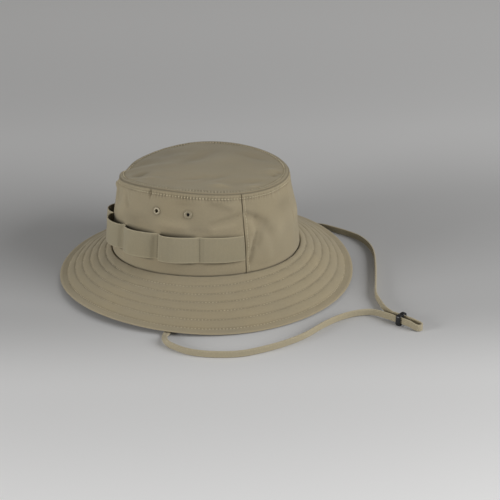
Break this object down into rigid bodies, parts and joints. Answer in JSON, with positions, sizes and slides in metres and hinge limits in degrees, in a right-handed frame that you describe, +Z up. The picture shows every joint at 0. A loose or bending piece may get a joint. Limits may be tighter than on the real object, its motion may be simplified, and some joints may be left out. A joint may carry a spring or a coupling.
{
  "type": "boonie hat",
  "caption": "Brimmed sun hat with stitched brim, flat-topped crown, branch-loop tape band, side vent eyelets and a chin strap with a slider.",
  "frame": {"origin": "middle of the footprint of the hat with its strap laid out in front, on the plane that the brim rests on; the middle of the head opening is 44.0 mm behind it and 6.2 mm to the wearer's left", "axes": "+X the way the wearer faces, +Y the wearer's left, +Z up out of the crown"},
  "size_m": [0.3864, 0.3418, 0.1125],
  "materials": {
    "shell_fabric": "matt tightly woven twill, khaki",
    "under_fabric": "matt tightly woven twill, khaki, unlit side",
    "stiffener": "matt non-woven interlining",
    "webbing": "ribbed woven tape, olive khaki",
    "binding_tape": "plain woven binding tape",
    "sweatband_fabric": "matt brushed twill",
    "eyelet_metal": "painted to match the cloth, semi-matt",
    "strap_fabric": "matt folded and topstitched self fabric",
    "slider_plastic": "black moulded acetal, satin",
    "label_fabric": "plain off-white woven tape, unprinted"
  },
  "bodies": {
    "hat": {"brim_upper_ply": "shell_fabric", "brim_stiffener": "stiffener", "brim_lower_ply": "under_fabric", "crown_tip": "shell_fabric", "crown_front_panel": "shell_fabric", "crown_side_panel_left": "shell_fabric", "crown_side_panel_right": "shell_fabric", "tip_seam_binding": "binding_tape", "side_seam_binding_left": "binding_tape", "side_seam_binding_right": "binding_tape", "side_seam_binding_rear": "binding_tape", "sweatband": "sweatband_fabric", "blank_label": "label_fabric", "branch_loop_band": "webbing", "strap_lead_left": "strap_fabric", "vent_eyelet_left_front": "eyelet_metal", "vent_washer_left_front": "eyelet_metal", "vent_eyelet_left_rear": "eyelet_metal", "vent_washer_left_rear": "eyelet_metal", "strap_lead_right": "strap_fabric", "vent_eyelet_right_front": "eyelet_metal", "vent_washer_right_front": "eyelet_metal", "vent_eyelet_right_rear": "eyelet_metal", "vent_washer_right_rear": "eyelet_metal"},
    "strap_loop": {"chin_strap": "strap_fabric"},
    "slider": {"strap_slider": "slider_plastic"}
  },
  "joints": [
    {"name": "strap_swing", "type": "hinge", "parent": "hat", "child": "strap_loop", "pos_m": [-0.02698, 0.00622, 0.0013], "axis": [0, -1, 0], "range_deg": [-90, 140]},
    {"name": "slider_slide", "type": "slide", "parent": "strap_loop", "child": "slider", "axis": [0.9336, -0.3584, 0], "range_m": [-0.007, 0.006]}
  ]
}
